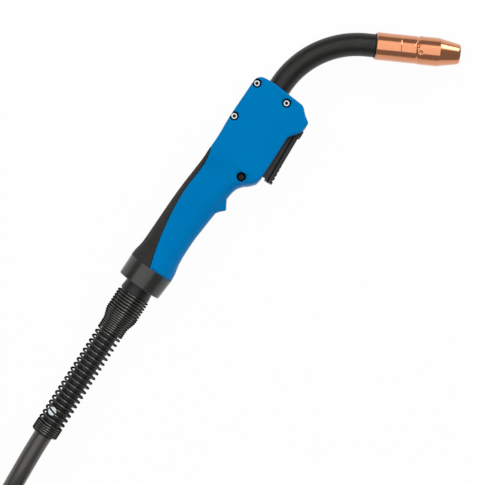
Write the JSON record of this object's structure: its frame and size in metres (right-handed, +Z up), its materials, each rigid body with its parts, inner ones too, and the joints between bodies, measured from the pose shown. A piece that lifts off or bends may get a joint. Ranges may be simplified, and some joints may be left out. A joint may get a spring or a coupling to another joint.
{
  "type": "mig welding torch",
  "caption": "Hand-held welding torch: curved neck with slip-on copper nozzle, two-shell handle with soft grip and trigger, strain relief spring, and coiled power cable with a machine plug.",
  "frame": {"origin": "on the floor under the middle of the torch's bounding box, measured without the free cable, its coil and its plug; the torch lies on its side", "axes": "+X along the handle from the cable towards the nozzle end, +Y towards the back of the grip, away from the trigger, +Z up, square to the handle's parting plane"},
  "size_m": [0.7429, 0.3478, 0.05],
  "materials": {
    "blue_plastic": "satin moulded",
    "soft_grip": "soft matte",
    "collar_rubber": "soft matte",
    "neck_rubber": "satin",
    "black_plastic": "moulded",
    "insulator": "matte",
    "copper": "turned",
    "brass": "turned",
    "bright_steel": "zinc plated",
    "dark_steel": "black oxide",
    "spring_wire": "gloss black",
    "cable_jacket": "satin",
    "dark_sleeve": "satin",
    "boot_rubber": "matte",
    "lead_insulation": "satin",
    "strap": "woven",
    "switch_button": "satin"
  },
  "bodies": {
    "torch": {"cable_coil": "cable_jacket", "cable_connector": "brass", "cable_core": "copper", "cable_in_torch": "dark_sleeve", "cable_lead": "cable_jacket", "cable_tail": "cable_jacket", "clamp_ring": "dark_steel", "clamp_screw": "bright_steel", "coil_ties": "strap", "collar": "collar_rubber", "contact_tip": "copper", "gas_diffuser": "brass", "grip_overmold_left": "soft_grip", "grip_overmold_right": "soft_grip", "handle_screws": "bright_steel", "handle_shell_left": "blue_plastic", "handle_shell_right": "blue_plastic", "neck_conductor": "copper", "neck_end_cap": "insulator", "neck_insulation": "insulator", "neck_jacket": "neck_rubber", "neck_nut": "brass", "pin_o_ring": "boot_rubber", "plug_body": "brass", "plug_boot": "boot_rubber", "plug_housing_lower": "black_plastic", "plug_housing_upper": "black_plastic", "plug_pin": "brass", "plug_screws": "bright_steel", "recessed_screw": "dark_steel", "retaining_ring": "bright_steel", "set_screws": "dark_steel", "spring_seat": "black_plastic", "strain_relief_spring": "spring_wire", "switch_body": "black_plastic", "switch_leads": "lead_insulation", "switch_terminals": "brass", "trigger_housing": "black_plastic", "trigger_pin": "dark_steel", "wire_liner": "dark_steel"},
    "trigger": {"trigger_lever": "black_plastic"},
    "plunger": {"switch_plunger": "switch_button"},
    "nozzle_set": {"nozzle": "copper", "nozzle_insulator": "insulator", "nozzle_insert": "brass"},
    "nut": {"coupling_nut": "black_plastic"},
    "contact_a": {"contact_pin_a": "brass"},
    "contact_b": {"contact_pin_b": "brass"}
  },
  "joints": [
    {"name": "trigger_pivot", "type": "hinge", "parent": "torch", "child": "trigger", "pos_m": [0.09263, 0.00881, 0.01975], "axis": [0, 0, -1], "range_deg": [0, 4.4], "stiffness_Nm_per_rad": 1.5, "springref_deg": -5.73},
    {"name": "plunger_press", "type": "slide", "parent": "torch", "child": "plunger", "axis": [0, 1, 0], "range_m": [0, 0.002]},
    {"name": "nozzle_pull", "type": "slide", "parent": "torch", "child": "nozzle_set", "axis": [0.4563, -0.8898, 0], "range_m": [0, 0.045]},
    {"name": "nut_turn", "type": "hinge", "parent": "torch", "child": "nut", "pos_m": [-0.49126, -0.24254, 0.025], "axis": [-0.0249, -0.9997, 0], "continuous": true},
    {"name": "contact_a_press", "type": "slide", "parent": "torch", "child": "contact_a", "axis": [0.0249, 0.9997, 0], "range_m": [0, 0.004], "stiffness_N_per_m": 800, "springref_m": -0.001},
    {"name": "contact_b_press", "type": "slide", "parent": "torch", "child": "contact_b", "axis": [0.0249, 0.9997, 0], "range_m": [0, 0.004], "stiffness_N_per_m": 800, "springref_m": -0.001}
  ],
  "couplings": [
    {"joint": "plunger_press", "follows": "trigger_pivot", "m_per_rad": 0.0236}
  ]
}
